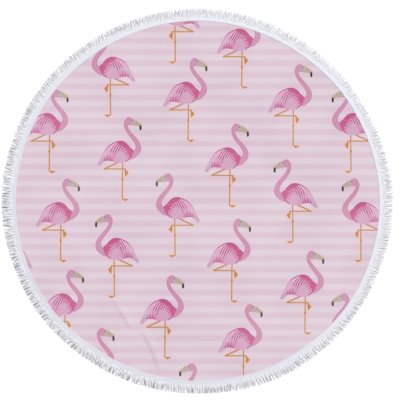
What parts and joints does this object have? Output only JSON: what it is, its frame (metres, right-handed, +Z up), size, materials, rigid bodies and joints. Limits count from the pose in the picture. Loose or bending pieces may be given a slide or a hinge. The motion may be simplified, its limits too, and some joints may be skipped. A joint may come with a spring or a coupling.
{
  "type": "round beach towel",
  "caption": "Round microfibre beach towel laid flat, with a white fringed trim sewn round its edge.",
  "frame": {"origin": "on the floor under the middle of the towel, the centre of its outer circle", "axes": "+Z up, out of the printed face; +Y towards the top of the print; +X to the right of the print"},
  "size_m": [1.5186, 1.4923, 0.005],
  "materials": {
    "printed_cloth": "printed brushed microfibre, matt",
    "fringe_trim": "white cotton tape with twisted locks, matt"
  },
  "bodies": {
    "root": {"printed_cloth": "printed_cloth", "fringe_trim": "fringe_trim"}
  },
  "joints": []
}
